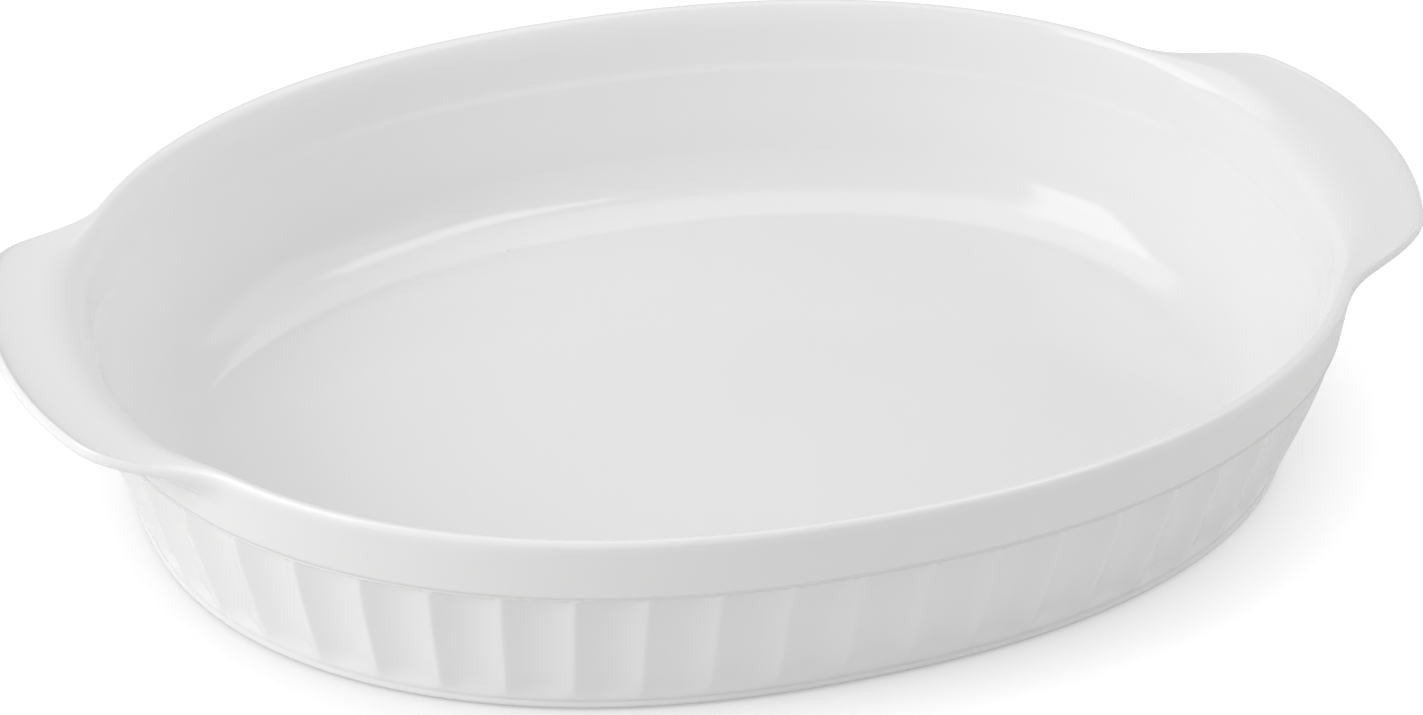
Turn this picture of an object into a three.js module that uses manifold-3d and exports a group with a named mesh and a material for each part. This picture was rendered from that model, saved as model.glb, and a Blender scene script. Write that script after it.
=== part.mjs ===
// An oval baking dish of white glazed stoneware, in millimetres with +Z up.
// It stands on z = 0 with the middle of its foot at the origin. Its long axis, with a lug
// handle at each end, lies along X.
// The fired dish is one body of clay. It is divided here at the potter's own lines: the foot ring,
// the floor, the fluted wall up to the groove, the plain band with the lip, and the two lugs.
import * as THREE from "three";
import { mergeVertices } from "three/addons/utils/BufferGeometryUtils.js";
import Module from "manifold-3d";

// Driving dimensions: the plan
const RIM_LENGTH = 309; // outside of the lip, without the handles
const RIM_WIDTH = 236.6;
const RIM_SQUARENESS = 2.21; // exponent of the superellipse, where 2 is a true ellipse

// Driving dimensions: the section, from the table up
const RIM_HEIGHT = 54.2; // top of the lip above the table
const FOOT_HEIGHT = 1.4;
const FOOT_WIDTH = 6;
const FOOT_SETBACK = 2.2; // from the wall's lower edge in to the foot
const FLOOR_THICKNESS = 4;
const FLOOR_EDGE_BEVEL = 1.2;
const WALL_THICKNESS = 7; // level, at the foot of the wall
const WALL_LEAN = 12; // how far the fluted wall comes in, from the groove to the table
const WALL_BELLY = 1.2; // 1 is a straight wall, and more rounds it in towards the foot
const WALL_THICKENING = 1.3; // 1 thickens the wall evenly downwards, and more keeps it thin above
const COVE_RADIUS = 20; // between the wall and the floor, inside
const COVE_END_ANGLE = THREE.MathUtils.degToRad(75); // where the cove stops, short of level
const COVE_STEP = 0.2; // height of the cove's lower edge above the floor
const COVE_SPREAD = 3; // how much further the cove runs in along the two long sides
const BAND_HEIGHT = 15.9; // plain band, from the groove to the top of the lip
const BAND_LEAN = 1.5;
const GROOVE_DEPTH = 0.8;
const LIP_THICKNESS = 5.4; // level, under the lip's rounding
const LIP_EDGE_RADIUS = 1.3; // of the lip's outer edge
const LIP_ROLL_DEPTH = 8; // how far down the inside the lip's rounding reaches

// Driving dimensions: the flutes and the lugs
const FLUTE_COUNT = 54;
const FLUTE_DEPTH = 1.5;
const FLUTE_SHOULDER = 1.5; // height over which a flute comes out to the groove
const FLUTE_RUN_OUT = 7; // height over which a flute fades at the foot
const HANDLE_REACH = 20.5; // from the lip out to the tip
const HANDLE_BOW = 3; // how far the outer edge falls back between the tip and the corners
const HANDLE_CORNER = 36.6; // along the lip, from the tip to where the edge starts to turn in
const HANDLE_ROOT = 65.8; // along the lip, from the tip to where the lug runs out
const HANDLE_RISE = 3.5; // tip above the lip
const HANDLE_EDGE = 3.4; // thickness of the lug's rounded edge
const HANDLE_ROOT_DEPTH = 8.5; // from the lip down to where the lug's underside meets the band
const HANDLE_RUN_OUT = 0.8; // least reach, where the lug dies into the band
const JOINT_GAP = 0.3; // between a lug and the band that it is luted to

// How finely round stretches are divided
const STEPS_PER_FLUTE = 4;
const PLAIN_STEPS = 100;
const ROUND_STEPS = 4;
const OUTLINE_SAMPLES = 3600;

// Heights and insets that follow from the dimensions
const FLOOR_Z = FOOT_HEIGHT + FLOOR_THICKNESS;
const GROOVE_Z = RIM_HEIGHT - BAND_HEIGHT;
const LIP_Z = RIM_HEIGHT - LIP_EDGE_RADIUS;

const wasm = await Module();
wasm.setup();

// The lip's outside in plan: a superellipse, walked by arc length so that the flutes are even.
const outline = (() => {
  const a = RIM_LENGTH / 2;
  const b = RIM_WIDTH / 2;
  const power = (v, p) => Math.sign(v) * Math.abs(v) ** p;
  const samples = [];
  let length = 0;
  for (let i = 0; i <= OUTLINE_SAMPLES; i++) {
    const t = (2 * Math.PI * i) / OUTLINE_SAMPLES;
    const point = new THREE.Vector2(
      a * power(Math.cos(t), 2 / RIM_SQUARENESS),
      b * power(Math.sin(t), 2 / RIM_SQUARENESS),
    );
    if (i > 0) length += point.distanceTo(samples[i - 1].point);
    samples.push({ point, length });
  }

  // The point and outward normal at a share of the way round, from the +X tip, anticlockwise.
  function at(share) {
    const target = (share - Math.floor(share)) * length;
    let low = 0;
    let high = OUTLINE_SAMPLES;
    while (high - low > 1) {
      const middle = (low + high) >> 1;
      if (samples[middle].length <= target) low = middle;
      else high = middle;
    }
    const span = samples[high].length - samples[low].length;
    const point = samples[low].point
      .clone()
      .lerp(samples[high].point, (target - samples[low].length) / span);
    const normal = new THREE.Vector2(
      power(point.x / a, RIM_SQUARENESS - 1) / a,
      power(point.y / b, RIM_SQUARENESS - 1) / b,
    ).normalize();
    return { point, normal };
  }
  return { at, length };
})();

// How far the outside lies in from the lip's outline at a height.
function outsideInset(z) {
  if (z >= GROOVE_Z) return BAND_LEAN * Math.max(0, (LIP_Z - z) / (LIP_Z - GROOVE_Z));
  return BAND_LEAN + WALL_LEAN * (1 - z / GROOVE_Z) ** WALL_BELLY;
}

// How far the inside lies in: the wall thickens from the lip down to the floor.
function insideInset(z) {
  const down = ((LIP_Z - z) / (LIP_Z - FLOOR_Z)) ** WALL_THICKENING;
  return outsideInset(z) + THREE.MathUtils.lerp(LIP_THICKNESS, WALL_THICKNESS, down);
}

// Points of a round stretch about a centre, by angle from straight out, upwards.
function arc(inset, z, radius, from, to) {
  const points = [];
  for (let i = 0; i <= ROUND_STEPS; i++) {
    const angle = THREE.MathUtils.lerp(from, to, i / ROUND_STEPS);
    points.push({ inset: inset - radius * Math.cos(angle), z: z + radius * Math.sin(angle) });
  }
  return points;
}

// Heights from one to another, ends included.
function heights(from, to, steps) {
  return Array.from({ length: steps + 1 }, (_, i) => THREE.MathUtils.lerp(from, to, i / steps));
}

// Depth of the flutes: nothing on the ridge between two flutes, all of it midway.
function fluteDepth(share, z) {
  const across = share * FLUTE_COUNT - Math.floor(share * FLUTE_COUNT + 1e-9);
  const hollow = 1 - (2 * across - 1) ** 2;
  const top = THREE.MathUtils.smoothstep(GROOVE_Z - z, 0, FLUTE_SHOULDER);
  const foot = THREE.MathUtils.smoothstep(z - FLOOR_Z, 0, FLUTE_RUN_OUT);
  return FLUTE_DEPTH * hollow * top * foot;
}

// Turns a section on the lathe, then moves each turned point from the round to the dish's outline.
// The section runs up the outside and down the inside. A point with axis set stays on the axis.
function turnOval(section, steps, place) {
  const closed = section[0].axis ? section : [...section, section[0]];
  const spindle = RIM_LENGTH;
  const points = closed.map((p) => new THREE.Vector2(p.axis ? 0 : spindle - p.inset, p.z));
  const geometry = new THREE.LatheGeometry(points, steps);
  geometry.deleteAttribute("normal");
  geometry.deleteAttribute("uv");
  const position = geometry.getAttribute("position");
  for (let i = 0; i <= steps; i++) {
    const share = (i % steps) / steps;
    const { point, normal } = outline.at(share);
    closed.forEach((p, j) => {
      const { inset, z } = place ? place(p, share) : p;
      const at = p.axis ? new THREE.Vector2() : point.clone().addScaledVector(normal, -inset);
      position.setXYZ(i * closed.length + j, at.x, at.y, z);
    });
  }
  return mergeVertices(geometry, 1e-4);
}

// A closed mesh as a solid that can be cut, and back again.
function solidOf(geometry) {
  const bare = geometry.clone();
  bare.deleteAttribute("normal");
  bare.deleteAttribute("uv");
  const merged = mergeVertices(bare, 1e-4);
  return new wasm.Manifold(
    new wasm.Mesh({
      numProp: 3,
      vertProperties: new Float32Array(merged.getAttribute("position").array),
      triVerts: new Uint32Array(merged.index.array),
    }),
  );
}

function geometryOf(solid) {
  const { vertProperties, triVerts } = solid.getMesh();
  const geometry = new THREE.BufferGeometry();
  geometry.setAttribute("position", new THREE.BufferAttribute(vertProperties, 3));
  geometry.setIndex(new THREE.BufferAttribute(triVerts, 1));
  return geometry;
}

// The foot ring: a low flat ring under the floor, left bare of glaze, that the dish stands on.
function footRing() {
  const outer = outsideInset(0) + FOOT_SETBACK;
  const inner = outer + FOOT_WIDTH;
  const section = [
    { inset: inner, z: 0 },
    { inset: outer, z: 0 },
    { inset: outer, z: FOOT_HEIGHT },
    { inset: inner, z: FOOT_HEIGHT },
  ];
  return turnOval(section, PLAIN_STEPS);
}

// The floor: a flat oval slab on the foot ring, with a bevelled lower edge, that carries the wall.
function floorSlab() {
  const bevelZ = FOOT_HEIGHT + FLOOR_EDGE_BEVEL;
  const section = [
    { axis: true, z: FOOT_HEIGHT },
    { inset: outsideInset(bevelZ) + FLOOR_EDGE_BEVEL, z: FOOT_HEIGHT },
    { inset: outsideInset(bevelZ), z: bevelZ },
    { inset: outsideInset(FLOOR_Z), z: FLOOR_Z },
    { axis: true, z: FLOOR_Z },
  ];
  return turnOval(section, PLAIN_STEPS);
}

// The fluted wall: hollow flutes outside between crisp ridges, and a cove inside at the floor.
function flutedWall() {
  const fluteTop = GROOVE_Z - FLUTE_SHOULDER;
  const fluteFoot = FLOOR_Z + FLUTE_RUN_OUT;
  const outside = [
    ...heights(FLOOR_Z, fluteFoot, 2),
    ...heights(fluteFoot, fluteTop, 2).slice(1),
    GROOVE_Z - GROOVE_DEPTH / 2,
  ].map((z) => ({ inset: outsideInset(z), z, fluted: true }));
  const groove = [{ inset: outsideInset(GROOVE_Z) + GROOVE_DEPTH, z: GROOVE_Z }];

  // The cove touches the wall where the wall's own lean meets the round.
  const leanNear = FLOOR_Z + COVE_RADIUS;
  const slope = (insideInset(FLOOR_Z) - insideInset(leanNear)) / COVE_RADIUS;
  const lean = Math.atan(slope);
  const centreZ = FLOOR_Z + COVE_STEP + COVE_RADIUS * Math.sin(COVE_END_ANGLE);
  const touchZ = centreZ - COVE_RADIUS * Math.sin(lean);
  const centre = insideInset(touchZ) + COVE_RADIUS * Math.cos(lean);
  const cove = arc(centre, centreZ, COVE_RADIUS, -lean, -COVE_END_ANGLE).map((p, i) => ({
    ...p,
    spread: (COVE_SPREAD * i) / ROUND_STEPS,
  }));
  const inside = heights(GROOVE_Z, touchZ, 3)
    .slice(0, -1)
    .map((z) => ({ inset: insideInset(z), z }));
  const step = [{ ...cove.at(-1), z: FLOOR_Z }];

  const section = [...outside, ...groove, ...inside, ...cove, ...step];
  return turnOval(section, FLUTE_COUNT * STEPS_PER_FLUTE, (p, share) => {
    const flute = p.fluted ? fluteDepth(share, p.z) : 0;
    const spread = p.spread ? p.spread * outline.at(share).normal.y ** 2 : 0;
    return { inset: p.inset + flute + spread, z: p.z };
  });
}

// The band: plain outside above the groove, and rolled over at the top into the lip.
function rimBand() {
  const outside = [
    { inset: outsideInset(GROOVE_Z) + GROOVE_DEPTH, z: GROOVE_Z },
    ...heights(GROOVE_Z + GROOVE_DEPTH, LIP_Z, 2)
      .slice(0, -1)
      .map((z) => ({ inset: outsideInset(z), z })),
  ];
  const edge = arc(LIP_EDGE_RADIUS, LIP_Z, LIP_EDGE_RADIUS, 0, Math.PI / 2);
  const rollZ = RIM_HEIGHT - LIP_ROLL_DEPTH;
  const roll = new THREE.QuadraticBezierCurve(
    new THREE.Vector2(LIP_EDGE_RADIUS, RIM_HEIGHT),
    new THREE.Vector2(insideInset(LIP_Z), RIM_HEIGHT),
    new THREE.Vector2(insideInset(rollZ), rollZ),
  )
    .getPoints(ROUND_STEPS)
    .slice(1)
    .map((p) => ({ inset: p.x, z: p.y }));
  const inside = heights(rollZ, GROOVE_Z, 2)
    .slice(1)
    .map((z) => ({ inset: insideInset(z), z }));
  return turnOval([...outside, ...edge, ...roll, ...inside], PLAIN_STEPS);
}

// How far a lug reaches out from the lip, by the share of the way round.
function handleReach(share) {
  const fromTip = Math.min(share, Math.abs(share - 0.5), 1 - share) * outline.length;
  const bow = HANDLE_BOW * (fromTip / HANDLE_CORNER) ** 2;
  const kept = 1 - THREE.MathUtils.smoothstep(fromTip, HANDLE_CORNER, HANDLE_ROOT);
  return Math.max(HANDLE_RUN_OUT, (HANDLE_REACH - bow) * kept);
}

// A lug's section at full reach, going round from its root: outwards as a share of the reach along
// the underside and back over the top, then down the shoulder of the lip and the band, which it
// follows at the joint's gap.
function handleSection() {
  const rootZ = RIM_HEIGHT - HANDLE_ROOT_DEPTH;
  const tipZ = RIM_HEIGHT + HANDLE_RISE;
  const below = heights(0, 1, ROUND_STEPS).map((out) => ({
    out,
    z: THREE.MathUtils.lerp(rootZ, tipZ - HANDLE_EDGE, out),
  }));
  const tip = { out: 1, z: tipZ - HANDLE_EDGE / 2, proud: HANDLE_EDGE / 2 };
  const above = heights(1, 0, ROUND_STEPS).map((out) => ({
    out,
    z: THREE.MathUtils.lerp(RIM_HEIGHT, tipZ, out ** 2),
  }));
  const shoulder = arc(LIP_EDGE_RADIUS, LIP_Z, LIP_EDGE_RADIUS + JOINT_GAP, Math.PI / 4, 0);
  const back = { out: 0, z: (LIP_Z + rootZ) / 2 };
  return [...below, tip, ...above, ...shoulder, back];
}

// A point of that section where the lug has a smaller reach: less rise, and a shallower root.
function placeOnHandle(p, share) {
  if (p.out === undefined) return p;
  const reach = handleReach(share);
  const level = reach / HANDLE_REACH;
  const rise = Math.max(0, p.z - RIM_HEIGHT) * level ** 2;
  const drop = Math.max(0, RIM_HEIGHT - p.z) * Math.sqrt(level);
  const z = RIM_HEIGHT + rise - drop;
  const seat = outsideInset(Math.min(z, LIP_Z)) - JOINT_GAP;
  const edge = reach - (HANDLE_EDGE / 2) * level;
  const inset = THREE.MathUtils.lerp(seat, -edge, p.out) - (p.proud ?? 0) * level;
  return { inset, z };
}

// Both lugs, as one flange round the dish that is cut off past their roots.
function handles() {
  const flange = turnOval(handleSection(), FLUTE_COUNT * STEPS_PER_FLUTE, placeOnHandle);
  const cutX = outline.at(HANDLE_ROOT / outline.length).point.x;
  const block = new THREE.BoxGeometry(RIM_LENGTH, 2 * RIM_WIDTH, 4 * RIM_HEIGHT);
  return [-1, 1].map((side) => {
    const keep = block.clone().translate(side * (cutX + RIM_LENGTH / 2), 0, 0);
    return geometryOf(solidOf(flange).intersect(solidOf(keep)));
  });
}

// Finishes: glossy white glaze all over, and bare off-white clay on the foot.
const GLAZE = { color: 0xf1f1ef, roughness: 0.16, metalness: 0 };
const BARE_CLAY = { color: 0xe6e0d4, roughness: 0.85, metalness: 0 };

function piece(name, geometry, finish) {
  geometry.computeVertexNormals();
  const mesh = new THREE.Mesh(geometry, new THREE.MeshStandardMaterial(finish));
  mesh.name = name;
  return mesh;
}

const dish = new THREE.Group();
const [leftHandle, rightHandle] = handles();
dish.add(
  piece("foot_ring", footRing(), BARE_CLAY),
  piece("floor_slab", floorSlab(), GLAZE),
  piece("fluted_wall", flutedWall(), GLAZE),
  piece("rim_band", rimBand(), GLAZE),
  piece("left_handle", leftHandle, GLAZE),
  piece("right_handle", rightHandle, GLAZE),
);

export default dish;
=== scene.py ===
# An oval baking dish of white glazed stoneware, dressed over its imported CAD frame.
# Sizes are in millimetres in the comments and values, and become metres where a mesh is placed.
import math

import bpy
import numpy as np
from mathutils import Matrix, Vector


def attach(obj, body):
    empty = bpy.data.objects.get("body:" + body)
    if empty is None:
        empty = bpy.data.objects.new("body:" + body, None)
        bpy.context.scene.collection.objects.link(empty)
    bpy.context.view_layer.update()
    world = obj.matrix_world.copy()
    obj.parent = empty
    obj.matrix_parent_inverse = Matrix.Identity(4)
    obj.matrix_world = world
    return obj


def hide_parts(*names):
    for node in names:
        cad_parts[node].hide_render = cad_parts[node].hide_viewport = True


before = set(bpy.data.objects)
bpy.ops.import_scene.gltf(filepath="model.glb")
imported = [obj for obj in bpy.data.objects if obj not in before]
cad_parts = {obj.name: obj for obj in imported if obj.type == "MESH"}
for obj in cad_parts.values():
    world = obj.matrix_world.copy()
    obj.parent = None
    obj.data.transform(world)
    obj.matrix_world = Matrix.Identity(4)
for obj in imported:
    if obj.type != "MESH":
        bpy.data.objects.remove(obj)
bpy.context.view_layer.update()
MM = 0.001


# Camera
# A long lens from the front, about twenty degrees to the left and a third of the way up, held almost
# two degrees off level. The picture is 1423 by 715 pixels.
PICTURE_WIDTH = 1423
FOCAL_PIXELS = 4420.5
CAMERA_PLACE = Vector((-320.5, -842.4, 599.4)) * MM
CAMERA_AZIMUTH = math.radians(-20.746)
CAMERA_ELEVATION = math.radians(32.648)
CAMERA_ROLL = math.radians(1.807)

back = Vector((
    math.sin(CAMERA_AZIMUTH) * math.cos(CAMERA_ELEVATION),
    -math.cos(CAMERA_AZIMUTH) * math.cos(CAMERA_ELEVATION),
    math.sin(CAMERA_ELEVATION),
))
level_right = Vector((0, 0, 1)).cross(back).normalized()
level_up = back.cross(level_right)
right = level_right * math.cos(CAMERA_ROLL) + level_up * math.sin(CAMERA_ROLL)
up = level_up * math.cos(CAMERA_ROLL) - level_right * math.sin(CAMERA_ROLL)

bpy.ops.object.select_all(action="DESELECT")
bpy.ops.object.camera_add(location=CAMERA_PLACE)
camera = bpy.context.object
camera.matrix_world = Matrix.Translation(CAMERA_PLACE) @ Matrix((right, up, back)).transposed().to_4x4()
camera.data.sensor_fit = "HORIZONTAL"
camera.data.sensor_width = 36
camera.data.lens = FOCAL_PIXELS / PICTURE_WIDTH * 36
bpy.context.scene.camera = camera


# The glazed dish
# One body of white stoneware, cast in a mould: a flat floor, a broad cove, a wall fluted outside up to
# an incised line, a plain band, and a rounded lip that runs out into a lug at each end. Glazed all over
# but for the foot. Painted light makes the glaze whiter inside and low on the wall, and painted shade
# makes it greyer on the band.
RIM_LENGTH = 309.0
RIM_WIDTH = 236.6
RIM_SQUARENESS = 2.21
RIM_HEIGHT = 54.2
LIP_THICKNESS = 5.4
LIP_EDGE_RADIUS = 1.3
LIP_Z = RIM_HEIGHT - LIP_EDGE_RADIUS
FOOT_HEIGHT = 1.4
FLOOR_Z = 5.4
WALL_THICKNESS = 7.0
WALL_THICKENING = 1.3
WALL_LEAN = 12.0
WALL_BELLY = 1.2
COVE_RADIUS = 20.0
COVE_END = math.radians(75)
COVE_SPREAD = 3.0
GROOVE_Z = 38.3
GROOVE_HALF = 0.3
GROOVE_DEPTH = 0.2
BAND_LEAN = 1.5
INSIDE_SOFTNESS = 5.0
INSIDE_STEP = 0.7
INSIDE_STEP_HALF = 1.1
FLUTE_COUNT = 54
FLUTE_DEPTH = 1.5
FLUTE_SHOULDER = 0.7
FLUTE_FADE_Z = 8.0
FLUTE_END_Z = 2.4
RIDGE_ROUND = 0.2
HANDLE_REACH = 20.5
HANDLE_BOW = 3.0
HANDLE_CORNER = 36.6
HANDLE_ROOT = 65.8
HANDLE_RISE = 3.5
HANDLE_EDGE = 1.7
HANDLE_ROOT_DEPTH = 8.5
HANDLE_FLARE = 2.0
LIP_FALL = 2.0
ROLL_DEPTH = 8.0
ROLL_OUT = 9.0
BEAD_Z = 1.8
BEAD_RADIUS = 1.1
BEAD_SINK = 0.4
# Painted light and shade in the glaze colour: lighter inside and at the foot of the wall, greyer on the
# band.
INSIDE_PAINTED_LIGHT = -0.5
BAND_PAINTED_SHADE = 0.35
WALL_FOOT_PAINTED_LIGHT = -0.5
FLUTE_STOPS = np.array([0, 0.02, 0.05, 0.1, 0.2, 0.35, 0.5, 0.65, 0.8, 0.9, 0.95, 0.98])
AROUND = FLUTE_COUNT * len(FLUTE_STOPS)


def smooth(value, start, end):
    t = np.clip((value - start) / (end - start), 0, 1)
    return t * t * (3 - 2 * t)


# The lip's outside in plan is a superellipse, walked by length so that the flutes are even.
def walk_outline(share):
    angle = np.linspace(0, 2 * math.pi, 7201)
    curve = np.column_stack([
        RIM_LENGTH / 2 * np.sign(np.cos(angle)) * np.abs(np.cos(angle)) ** (2 / RIM_SQUARENESS),
        RIM_WIDTH / 2 * np.sign(np.sin(angle)) * np.abs(np.sin(angle)) ** (2 / RIM_SQUARENESS),
    ])
    walked = np.concatenate([[0], np.cumsum(np.hypot(*np.diff(curve, axis=0).T))])
    plan = np.column_stack([np.interp(share * walked[-1], walked, curve[:, i]) for i in (0, 1)])
    half = np.array([RIM_LENGTH, RIM_WIDTH]) / 2
    outward = np.sign(plan) * np.abs(plan / half) ** (RIM_SQUARENESS - 1) / half
    return plan, outward / np.linalg.norm(outward, axis=1, keepdims=True), walked[-1]


share = np.add.outer(np.arange(FLUTE_COUNT), FLUTE_STOPS).ravel() / FLUTE_COUNT
plan, outward, girth = walk_outline(share)

# How much of a lug there is, all the way round: one at its tip, nothing past its roots.
from_tip = np.minimum(np.minimum(share, np.abs(share - 0.5)), 1 - share) * girth
bowed = np.maximum(0, HANDLE_REACH - HANDLE_BOW * (from_tip / HANDLE_CORNER) ** 2)
level = bowed * (1 - smooth(from_tip, HANDLE_CORNER, HANDLE_ROOT)) / HANDLE_REACH

# The hollow of each flute: nothing on the ridges, which are a little rounded, all of it midway.
scoop = np.tile(1 - (2 * FLUTE_STOPS - 1) ** 2, FLUTE_COUNT)
hollow = (np.hypot(scoop, RIDGE_ROUND) - RIDGE_ROUND) / (math.hypot(1, RIDGE_ROUND) - RIDGE_ROUND)


def outside_inset(z):
    if z >= GROOVE_Z:
        return BAND_LEAN * max(0.0, (LIP_Z - z) / (LIP_Z - GROOVE_Z))
    return BAND_LEAN + WALL_LEAN * (1 - z / GROOVE_Z) ** WALL_BELLY


def wall_inset(z):
    down = ((LIP_Z - z) / (LIP_Z - FLOOR_Z)) ** WALL_THICKENING
    return outside_inset(z) + LIP_THICKNESS * (1 - down) + WALL_THICKNESS * down


def inside_inset(z):
    spread = min(INSIDE_SOFTNESS, LIP_Z - z)
    soft = np.mean([wall_inset(z + d) for d in np.linspace(-spread, spread, 21)])
    step = smooth(z, GROOVE_Z - INSIDE_STEP_HALF, GROOVE_Z + INSIDE_STEP_HALF)
    return float(soft - INSIDE_STEP * step)


def lip_edge(degrees):
    turn = math.radians(degrees)
    return LIP_EDGE_RADIUS * (1 - math.cos(turn)), LIP_Z + LIP_EDGE_RADIUS * math.sin(turn)


# The section is laid down as rings, from the middle of the floor up the inside, over the lip and the
# lugs, down the outside and in under the dish. With each ring goes its painted shade in the glaze
# colour, up to one where it is painted greyest, or down to minus one where painted light makes it
# whitest.
rings = []
painted_shading_rows = []


def add_ring(inset, z, shrink=1.0, painted_shade=INSIDE_PAINTED_LIGHT):
    place = (plan - outward * np.broadcast_to(inset, AROUND)[:, None]) * shrink
    rings.append(np.column_stack([place, np.broadcast_to(z, AROUND)]))
    painted_shading_rows.append(np.broadcast_to(painted_shade, AROUND))


def add_lug_ring(plain, lug, out, painted_shade):
    inset = plain[0] + (lug[0] - plain[0]) * level
    z = plain[1] + (lug[1] - plain[1]) * level + HANDLE_RISE * (level * out) ** 2
    add_ring(inset, z, painted_shade=painted_shade)


# Floor, cove and inside wall
slope = (inside_inset(FLOOR_Z + 2) - inside_inset(FLOOR_Z + COVE_RADIUS)) / (COVE_RADIUS - 2)
lean = math.atan(slope)
cove_z = FLOOR_Z + COVE_RADIUS * math.sin(COVE_END)
touch_z = cove_z - COVE_RADIUS * math.sin(lean)
cove_inset = inside_inset(touch_z) + COVE_RADIUS * math.cos(lean)
spread = COVE_SPREAD * outward[:, 1] ** 2
for shrink in (0, 0.25, 0.5, 0.75, 0.9, 0.97, 0.99):
    add_ring(cove_inset + spread - COVE_RADIUS * math.cos(COVE_END), FLOOR_Z, shrink)
for t in np.linspace(1, 0, 15):
    turn = lean + (COVE_END - lean) * t
    inset = cove_inset + spread * t - COVE_RADIUS * math.cos(turn)
    add_ring(inset, cove_z - COVE_RADIUS * math.sin(turn))
roll_z = RIM_HEIGHT - ROLL_DEPTH
inside_heights = np.concatenate([
    np.linspace(touch_z, GROOVE_Z - 2, 7)[1:],
    GROOVE_Z + np.linspace(-1.3, 1.3, 9),
    np.linspace(GROOVE_Z + 2.2, roll_z, 5),
])
for z in inside_heights:
    add_ring(inside_inset(z) - HANDLE_FLARE * level * smooth(z, touch_z, roll_z), z)

# The inside wall rolls over to the plain lip, or further out into a lug.
roll_start = inside_inset(roll_z)
roll_corner = roll_start - ROLL_DEPTH * (roll_start - inside_inset(roll_z + 1))
for t in np.linspace(0, 1, 19)[1:]:
    z = RIM_HEIGHT - ROLL_DEPTH * (1 - t) ** 2
    wall = (1 - t) ** 2 * roll_start + 2 * t * (1 - t) * roll_corner
    flare = HANDLE_FLARE * (1 - t ** 2)
    out = max(0.0, ROLL_OUT * (2 * t - 1)) / HANDLE_REACH
    plain = (wall + t ** 2 * LIP_EDGE_RADIUS, z)
    add_lug_ring(plain, (wall - flare - t ** 2 * ROLL_OUT, z), out, INSIDE_PAINTED_LIGHT)

# The lug's top runs out from the roll to its edge, and the plain lip turns over to the outside.
for t in np.linspace(0, 1, 13)[1:]:
    reach = ROLL_OUT + (HANDLE_REACH - HANDLE_EDGE - ROLL_OUT) * t
    # Painted light on the lug top fades out towards its edge.
    painted_shade = INSIDE_PAINTED_LIGHT * (1 - level * t ** 8)
    add_lug_ring(lip_edge(90 - 50 * t), (-reach, RIM_HEIGHT), reach / HANDLE_REACH, painted_shade)
for t in np.linspace(0, 1, 8)[1:]:
    turn = math.radians(90 - 90 * t)
    reach = HANDLE_REACH - HANDLE_EDGE * (1 - math.cos(turn))
    lug_z = RIM_HEIGHT - HANDLE_EDGE * (1 - math.sin(turn))
    add_lug_ring(lip_edge(40 - 40 * t), (-reach, lug_z), 1, INSIDE_PAINTED_LIGHT * (1 - t))

# Under the lug the edge turns in, and its underside slopes straight down to the band.
for t in np.linspace(0, 1, 7)[1:]:
    z = LIP_Z - LIP_FALL * t
    turn = math.radians(-90 * t)
    reach = HANDLE_REACH - HANDLE_EDGE * (1 - math.cos(turn))
    lug_z = RIM_HEIGHT - HANDLE_EDGE * (1 - math.sin(turn))
    add_lug_ring((outside_inset(z), z), (-reach, lug_z), 1, BAND_PAINTED_SHADE * t)
root_z = RIM_HEIGHT - HANDLE_ROOT_DEPTH
under_z = RIM_HEIGHT - 2 * HANDLE_EDGE
under_out = HANDLE_REACH - HANDLE_EDGE
for t in np.linspace(0, 1, 13)[1:]:
    z = LIP_Z - LIP_FALL + (root_z - LIP_Z + LIP_FALL) * t
    lug = ((t - 1) * under_out + t * outside_inset(root_z), (1 - t) * under_z + t * root_z)
    add_lug_ring((outside_inset(z), z), lug, 1 - t, BAND_PAINTED_SHADE)

# Band, incised line and flutes, whose rings lie closest at their tops and their feet.
for z in np.linspace(root_z, GROOVE_Z + GROOVE_HALF, 9)[1:-1]:
    add_ring(outside_inset(z), z, painted_shade=BAND_PAINTED_SHADE)
for turn in np.linspace(0, math.pi, 9):
    z = GROOVE_Z + GROOVE_HALF * math.cos(turn)
    add_ring(outside_inset(z) + GROOVE_DEPTH * math.sin(turn), z, painted_shade=BAND_PAINTED_SHADE)
flute_top = GROOVE_Z - GROOVE_HALF
flute_heights = np.concatenate([
    flute_top - np.array([0.12, 0.25, 0.4, 0.55, 0.75, 1.5]),
    np.linspace(34.2, 9, 9),
    np.array([7.5, 6.2, 5.2, 4.2, 3.3]),
])
for z in flute_heights:
    cut = smooth(flute_top - z, 0, FLUTE_SHOULDER) * smooth(z, FLUTE_END_Z, FLUTE_FADE_Z)
    # Painted shade at the top of the flutes turns to painted light towards their feet.
    painted_shade = BAND_PAINTED_SHADE + (WALL_FOOT_PAINTED_LIGHT - BAND_PAINTED_SHADE) * (1 - z / flute_top)
    add_ring(outside_inset(z) + FLUTE_DEPTH * hollow * cut, z, painted_shade=painted_shade)

# The lowest edge is a small bead, and the underside lies flat behind it.
bead_inset = outside_inset(BEAD_Z) + BEAD_SINK * BEAD_RADIUS
for turn in np.linspace(math.radians(60), math.radians(-90), 9):
    z = BEAD_Z + BEAD_RADIUS * math.sin(turn)
    add_ring(bead_inset - BEAD_RADIUS * math.cos(turn), z, painted_shade=0)
for shrink in (0.98, 0.9, 0.7, 0.4, 0):
    add_ring(bead_inset, FOOT_HEIGHT, shrink)


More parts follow.
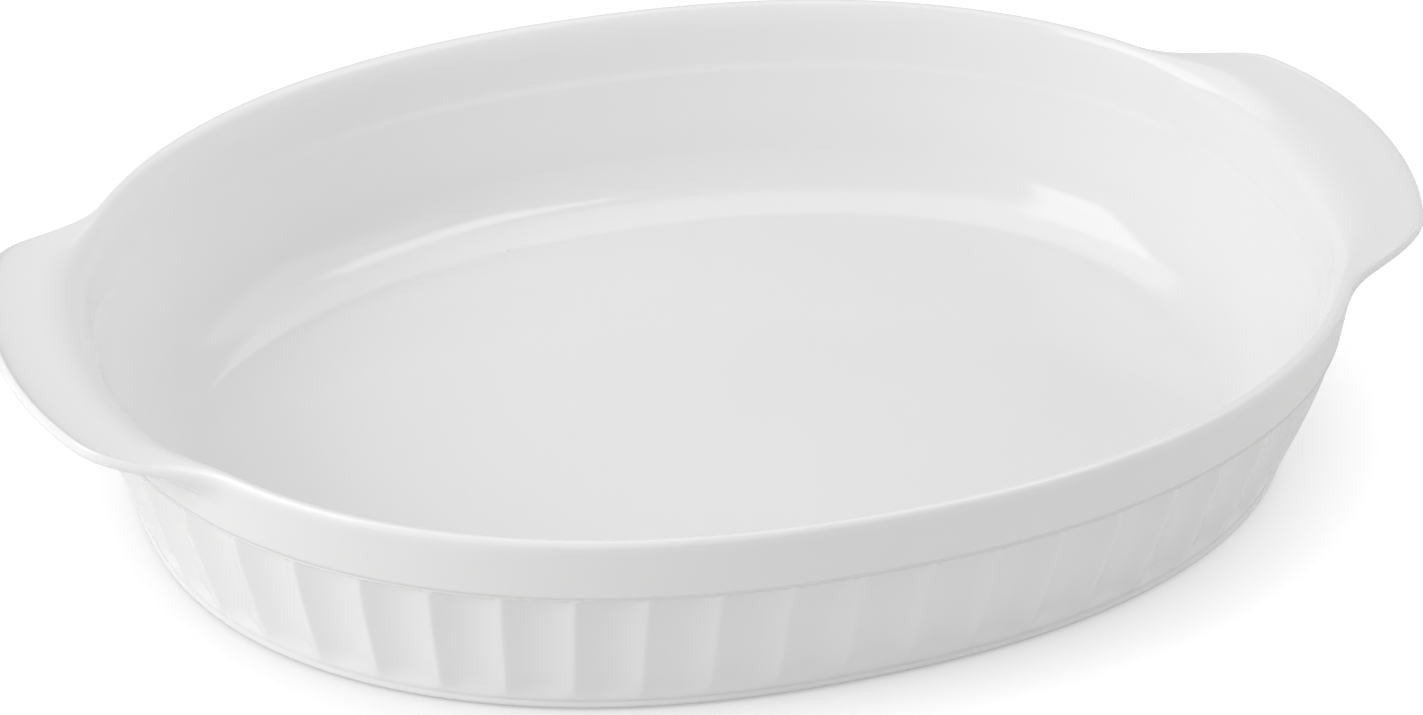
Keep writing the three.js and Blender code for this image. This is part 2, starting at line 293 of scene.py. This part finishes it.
# A blank tube of as many rings, of which each is then pressed to its place in the section.
def press_rings(name, rings):
    steps = len(rings[0])
    bpy.ops.object.select_all(action="DESELECT")
    bpy.ops.mesh.primitive_circle_add(vertices=steps, radius=1)
    piece = bpy.context.object
    piece.name = name
    bpy.ops.object.mode_set(mode="EDIT")
    bpy.ops.mesh.select_all(action="SELECT")
    for _ in rings[1:]:
        bpy.ops.mesh.extrude_edges_move(TRANSFORM_OT_translate={"value": (0, 0, 1)})
    bpy.ops.object.mode_set(mode="OBJECT")
    blank = np.empty(len(piece.data.vertices) * 3)
    piece.data.vertices.foreach_get("co", blank)
    blank = blank.reshape(-1, 3)
    row = np.rint(blank[:, 2]).astype(int)
    column = np.rint(np.arctan2(blank[:, 1], blank[:, 0]) / (2 * math.pi) * steps).astype(int) % steps
    piece.data.vertices.foreach_set("co", (np.array(rings)[row, column] * MM).ravel())
    return piece, row, column


def close_and_smooth(piece):
    bpy.ops.object.mode_set(mode="EDIT")
    bpy.ops.mesh.select_all(action="SELECT")
    bpy.ops.mesh.remove_doubles(threshold=1e-7)
    bpy.ops.mesh.normals_make_consistent(inside=False)
    bpy.ops.object.mode_set(mode="OBJECT")
    bpy.ops.object.shade_smooth()


dish, row, column = press_rings("glazed_dish", rings)
# Each ring's painted light and shade goes onto the dish as a point attribute.
shading_paint = dish.data.attributes.new("painted_light_and_shade", "FLOAT", "POINT")
shading_paint.data.foreach_set("value", np.array(painted_shading_rows)[row, column])
close_and_smooth(dish)

# Fine specks of iron in the clay: they show faintly through the glaze, and lie bare on the foot.
specks = bpy.data.node_groups.new("clay_specks", "ShaderNodeTree")
specks.interface.new_socket("Scale", in_out="INPUT", socket_type="NodeSocketFloat")
specks.interface.new_socket("Rarity", in_out="INPUT", socket_type="NodeSocketFloat")
specks.interface.new_socket("Speck", in_out="OUTPUT", socket_type="NodeSocketFloat")
nodes, links = specks.nodes, specks.links
entry = nodes.new("NodeGroupInput")
leave = nodes.new("NodeGroupOutput")
place = nodes.new("ShaderNodeTexCoord")
cells = nodes.new("ShaderNodeTexVoronoi")
dot = nodes.new("ShaderNodeMapRange")
dot.inputs["From Min"].default_value = 0.08
dot.inputs["From Max"].default_value = 0.03
pick = nodes.new("ShaderNodeMath")
pick.operation = "GREATER_THAN"
both = nodes.new("ShaderNodeMath")
both.operation = "MULTIPLY"
channel = nodes.new("ShaderNodeSeparateColor")
links.new(place.outputs["Object"], cells.inputs["Vector"])
links.new(entry.outputs["Scale"], cells.inputs["Scale"])
links.new(cells.outputs["Distance"], dot.inputs["Value"])
links.new(cells.outputs["Color"], channel.inputs["Color"])
links.new(channel.outputs["Red"], pick.inputs[0])
links.new(entry.outputs["Rarity"], pick.inputs[1])
links.new(dot.outputs["Result"], both.inputs[0])
links.new(pick.outputs[0], both.inputs[1])
links.new(both.outputs[0], leave.inputs["Speck"])

# White glaze: glossy, drifting slowly in tone, with a faint orange-peel surface. Painted shade makes it
# greyer on the band and painted light makes it whiter inside and low on the wall.
glaze = bpy.data.materials.new("white_glaze")
glaze.use_nodes = True
nodes, links = glaze.node_tree.nodes, glaze.node_tree.links
shader = nodes["Principled BSDF"]
shader.inputs["IOR"].default_value = 1.5
place = nodes.new("ShaderNodeTexCoord")

drift = nodes.new("ShaderNodeTexNoise")
drift.inputs["Scale"].default_value = 22
drift.inputs["Detail"].default_value = 3
links.new(place.outputs["Object"], drift.inputs["Vector"])
body = nodes.new("ShaderNodeMix")
body.data_type = "RGBA"
body.inputs["A"].default_value = (0.83, 0.83, 0.83, 1)
body.inputs["B"].default_value = (0.87, 0.87, 0.87, 1)
links.new(drift.outputs["Fac"], body.inputs["Factor"])

# The painted light and shade from the rings: painted greyer where positive, painted whiter where
# negative.
shading_paint = nodes.new("ShaderNodeAttribute")
shading_paint.attribute_name = "painted_light_and_shade"
painted_grey = nodes.new("ShaderNodeMix")
painted_grey.data_type = "RGBA"
painted_grey.inputs["B"].default_value = (0.76, 0.76, 0.75, 1)
links.new(shading_paint.outputs["Fac"], painted_grey.inputs["Factor"])
links.new(body.outputs["Result"], painted_grey.inputs["A"])
painted_light_amount = nodes.new("ShaderNodeMath")
painted_light_amount.operation = "MULTIPLY"
painted_light_amount.inputs[1].default_value = -1
links.new(shading_paint.outputs["Fac"], painted_light_amount.inputs[0])
painted_white = nodes.new("ShaderNodeMix")
painted_white.data_type = "RGBA"
painted_white.inputs["B"].default_value = (0.94, 0.94, 0.94, 1)
links.new(painted_light_amount.outputs[0], painted_white.inputs["Factor"])
links.new(painted_grey.outputs["Result"], painted_white.inputs["A"])

speck = nodes.new("ShaderNodeGroup")
speck.node_tree = specks
speck.inputs["Scale"].default_value = 240
speck.inputs["Rarity"].default_value = 0.996
spotted = nodes.new("ShaderNodeMix")
spotted.data_type = "RGBA"
spotted.inputs["B"].default_value = (0.6, 0.59, 0.57, 1)
links.new(speck.outputs["Speck"], spotted.inputs["Factor"])
links.new(painted_white.outputs["Result"], spotted.inputs["A"])
links.new(spotted.outputs["Result"], shader.inputs["Base Color"])

gloss = nodes.new("ShaderNodeMapRange")
gloss.inputs["To Min"].default_value = 0.09
gloss.inputs["To Max"].default_value = 0.15
links.new(drift.outputs["Fac"], gloss.inputs["Value"])
links.new(gloss.outputs["Result"], shader.inputs["Roughness"])

peel = nodes.new("ShaderNodeTexNoise")
peel.inputs["Scale"].default_value = 260
peel.inputs["Detail"].default_value = 2
links.new(place.outputs["Object"], peel.inputs["Vector"])
relief = nodes.new("ShaderNodeBump")
relief.inputs["Strength"].default_value = 0.15
relief.inputs["Distance"].default_value = 0.0001
links.new(peel.outputs["Fac"], relief.inputs["Height"])
links.new(relief.outputs["Normal"], shader.inputs["Normal"])
dish.data.materials.append(glaze)

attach(dish, "root")
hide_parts("floor_slab", "fluted_wall", "rim_band", "left_handle", "right_handle")


# The foot ring
# The same clay as the dish, standing a little below its underside. It is wiped clean of glaze before
# firing so that it does not stick to the kiln shelf, and ground flat: bare, gritty and matt.
FOOT_WIDTH = 6.0
FOOT_SETBACK = 2.2
FOOT_ROUND = 0.5
FOOT_STEPS = 360

plan, outward, girth = walk_outline(np.arange(FOOT_STEPS) / FOOT_STEPS)
foot_outer = outside_inset(0) + FOOT_SETBACK
foot_inner = foot_outer + FOOT_WIDTH
foot_section = [(foot_inner, FOOT_HEIGHT), (foot_inner, FOOT_ROUND)]
for turn in np.linspace(0, math.pi / 2, 6)[1:]:
    foot_section.append((
        foot_inner - FOOT_ROUND * (1 - math.cos(turn)),
        FOOT_ROUND * (1 - math.sin(turn)),
    ))
for turn in np.linspace(math.pi / 2, 0, 6):
    foot_section.append((
        foot_outer + FOOT_ROUND * (1 - math.cos(turn)),
        FOOT_ROUND * (1 - math.sin(turn)),
    ))
foot_section += [(foot_outer, FOOT_HEIGHT), (foot_inner, FOOT_HEIGHT)]
foot_rings = [
    np.column_stack([plan - outward * inset, np.full(FOOT_STEPS, z)]) for inset, z in foot_section
]
foot, row, column = press_rings("bare_foot_ring", foot_rings)
close_and_smooth(foot)
bpy.ops.object.shade_smooth_by_angle(angle=math.radians(35))

# Bare clay: warm off-white, flecked, and rough with fine grit.
clay = bpy.data.materials.new("bare_clay")
clay.use_nodes = True
nodes, links = clay.node_tree.nodes, clay.node_tree.links
shader = nodes["Principled BSDF"]
shader.inputs["Roughness"].default_value = 0.88
shader.inputs["Specular IOR Level"].default_value = 0.2
place = nodes.new("ShaderNodeTexCoord")
cloud = nodes.new("ShaderNodeTexNoise")
cloud.inputs["Scale"].default_value = 90
cloud.inputs["Detail"].default_value = 5
links.new(place.outputs["Object"], cloud.inputs["Vector"])
body = nodes.new("ShaderNodeMix")
body.data_type = "RGBA"
body.inputs["A"].default_value = (0.70, 0.64, 0.55, 1)
body.inputs["B"].default_value = (0.82, 0.77, 0.69, 1)
links.new(cloud.outputs["Fac"], body.inputs["Factor"])
speck = nodes.new("ShaderNodeGroup")
speck.node_tree = specks
speck.inputs["Scale"].default_value = 700
speck.inputs["Rarity"].default_value = 0.75
spotted = nodes.new("ShaderNodeMix")
spotted.data_type = "RGBA"
spotted.inputs["B"].default_value = (0.38, 0.31, 0.24, 1)
links.new(speck.outputs["Speck"], spotted.inputs["Factor"])
links.new(body.outputs["Result"], spotted.inputs["A"])
links.new(spotted.outputs["Result"], shader.inputs["Base Color"])
grit = nodes.new("ShaderNodeTexNoise")
grit.inputs["Scale"].default_value = 2400
grit.inputs["Detail"].default_value = 4
links.new(place.outputs["Object"], grit.inputs["Vector"])
relief = nodes.new("ShaderNodeBump")
relief.inputs["Strength"].default_value = 0.6
relief.inputs["Distance"].default_value = 0.0002
links.new(grit.outputs["Fac"], relief.inputs["Height"])
links.new(relief.outputs["Normal"], shader.inputs["Normal"])
foot.data.materials.append(clay)

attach(foot, "root")
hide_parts("foot_ring")


# Table and light
# A white sweep under the dish, panels of light overhead, and broad soft fills on the left and right. The
# camera sees the sweep lifted to white, with a painted shadow close round the dish.
TABLE_SIZE = 8
PAINTED_SHADOW_REACH = 0.025
PAINTED_SHADOW_LIFT = 0.34
OPEN_LIFT = 0.66

bpy.ops.object.select_all(action="DESELECT")
bpy.ops.mesh.primitive_plane_add(size=TABLE_SIZE)
table = bpy.context.object
table.name = "table"
white = bpy.data.materials.new("white_sweep")
white.use_nodes = True
nodes = white.node_tree.nodes
links = white.node_tree.links
shader = nodes["Principled BSDF"]
shader.inputs["Roughness"].default_value = 1
shader.inputs["Specular IOR Level"].default_value = 0
light_path = nodes.new("ShaderNodeLightPath")
paper = nodes.new("ShaderNodeMix")
paper.data_type = "RGBA"
paper.inputs["A"].default_value = (0.9, 0.9, 0.9, 1)
paper.inputs["B"].default_value = (0.5, 0.5, 0.5, 1)
links.new(light_path.outputs["Is Camera Ray"], paper.inputs["Factor"])
links.new(paper.outputs["Result"], shader.inputs["Base Color"])
# Painted shadow: the camera's lift is cut where ambient occlusion finds the dish within reach, so the
# sweep darkens close round its foot.
painted_shadow_ao = nodes.new("ShaderNodeAmbientOcclusion")
painted_shadow_ao.inputs["Distance"].default_value = PAINTED_SHADOW_REACH
lift_and_painted_shadow = nodes.new("ShaderNodeMapRange")
lift_and_painted_shadow.inputs["To Min"].default_value = PAINTED_SHADOW_LIFT
lift_and_painted_shadow.inputs["To Max"].default_value = OPEN_LIFT
seen = nodes.new("ShaderNodeMath")
seen.operation = "MULTIPLY"
shader.inputs["Emission Color"].default_value = (1, 1, 1, 1)
links.new(painted_shadow_ao.outputs["AO"], lift_and_painted_shadow.inputs["Value"])
links.new(lift_and_painted_shadow.outputs["Result"], seen.inputs[0])
links.new(light_path.outputs["Is Camera Ray"], seen.inputs[1])
links.new(seen.outputs[0], shader.inputs["Emission Strength"])
table.data.materials.append(white)


def soft_light(name, place, rotation, size, power):
    bpy.ops.object.light_add(type="AREA", location=place, rotation=rotation)
    lamp = bpy.context.object
    lamp.name = name
    lamp.data.shape = "RECTANGLE"
    lamp.data.size, lamp.data.size_y = size
    lamp.data.energy = power
    return lamp


# Panels that hang level above the dish: all that they give is their image in the glaze.
for name, place, turn, size, power in (
    ("left_panel", (-0.97, 0.10, 1.2), 37, (1.3, 0.8), 8.5),
    ("right_strip", (0.56, -0.13, 1.2), 50, (0.5, 0.2), 1.0),
    ("right_panel", (1.25, -0.10, 1.2), 0, (1.2, 1.2), 3.6),
    ("back_panel", (0.0, 0.52, 1.2), 0, (1.6, 1.15), 6.6),
):
    panel = soft_light(name, place, (0, 0, math.radians(turn)), size, power)
    panel.visible_diffuse = False

# Broad fills round the dish, so well diffused that the glaze shows no image of them.
for name, place, size, power in (
    ("left_fill", (-1.38, -0.19, 0.98), (1.0, 1.0), 5.0),
    ("left_key", (-1.04, -0.05, 0.6), (0.4, 0.4), 2.4),
    ("left_low_fill", (-1.7, -0.3, 0.35), (1.6, 0.6), 1.5),
    ("right_fill", (1.7, 0.0, 0.6), (1.6, 1.0), 6.6),
    ("top_fill", (-0.05, 0.1, 1.5), (1.2, 1.2), 1.4),
):
    aim = (-Vector(place)).to_track_quat("-Z", "Y").to_euler()
    fill = soft_light(name, place, aim, size, power)
    fill.visible_glossy = False

world = bpy.data.worlds.new("studio")
bpy.context.scene.world = world
world.use_nodes = True
sky = world.node_tree.nodes["Background"]
sky.inputs["Color"].default_value = (1, 1, 1, 1)
sky.inputs["Strength"].default_value = 0.6

bpy.context.scene.view_settings.view_transform = "Standard"
